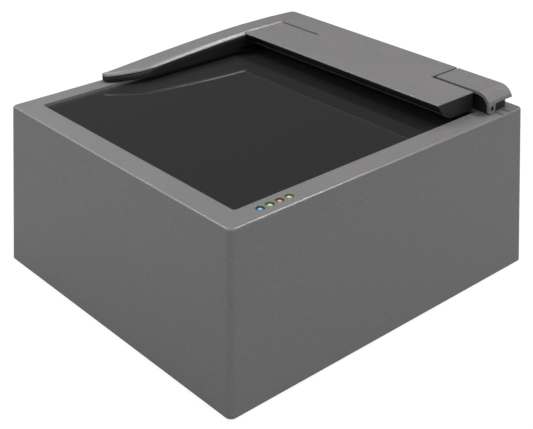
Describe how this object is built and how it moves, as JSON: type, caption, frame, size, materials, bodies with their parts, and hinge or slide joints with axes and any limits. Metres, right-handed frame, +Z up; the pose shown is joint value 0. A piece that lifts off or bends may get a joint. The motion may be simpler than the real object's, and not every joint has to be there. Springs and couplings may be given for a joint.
{
  "type": "passport scanner",
  "caption": "Desktop passport scanner: box housing with a glass scan window, an L-shaped hinged hood over two of its edges and a row of status lights.",
  "frame": {"origin": "on the desk under the middle of the housing, at the bottom of the rubber feet", "axes": "+X to the right side with the status lights, +Y to the rear with the hinge, +Z up"},
  "size_m": [0.1854, 0.2074, 0.1009],
  "materials": {
    "grey_housing": "satin",
    "black_plastic": "satin",
    "dark_glass": "polished",
    "gasket_rubber": "matte",
    "foot_rubber": "matte",
    "steel": "brushed",
    "circuit_board": "satin",
    "lens_glass": "polished",
    "light_blue": "gloss",
    "light_green": "gloss",
    "light_orange": "gloss"
  },
  "bodies": {
    "base": {"housing": "grey_housing", "hinge_cover": "grey_housing", "scan_glass": "dark_glass", "glass_gasket": "gasket_rubber", "status_light_1": "light_blue", "status_light_2": "light_green", "status_light_3": "light_orange", "status_light_4": "light_green", "status_light_board": "circuit_board", "base_plate": "black_plastic", "foot_front_left": "foot_rubber", "foot_front_right": "foot_rubber", "foot_rear_right": "foot_rubber", "foot_rear_left": "foot_rubber", "base_screw_1": "steel", "base_screw_2": "steel", "base_screw_3": "steel", "base_screw_4": "steel", "main_board": "circuit_board", "usb_socket": "steel", "power_socket": "black_plastic", "light_tunnel": "black_plastic", "antenna_board": "circuit_board", "lamp_bar_left": "circuit_board", "lamp_bar_right": "circuit_board", "lamp_bar_front": "circuit_board", "lamp_bar_rear": "circuit_board", "camera_board": "circuit_board", "lens_mount": "black_plastic", "lens_barrel": "black_plastic", "front_lens": "lens_glass", "hinge_block": "black_plastic", "hinge_cover_screw": "steel", "hinge_shaft": "steel"},
    "hood": {"hood_cap": "grey_housing", "hood_tray": "black_plastic", "friction_sleeve": "steel", "shaft_bush": "black_plastic", "hood_screw_1": "steel", "hood_screw_2": "steel", "hood_screw_3": "steel", "hood_screw_4": "steel", "hood_bumper_1": "foot_rubber", "hood_bumper_2": "foot_rubber"}
  },
  "joints": [
    {"name": "hood_hinge", "type": "hinge", "parent": "base", "child": "hood", "pos_m": [0, 0.09065, 0.09545], "axis": [-1, 0, 0], "range_deg": [0, 90]}
  ]
}
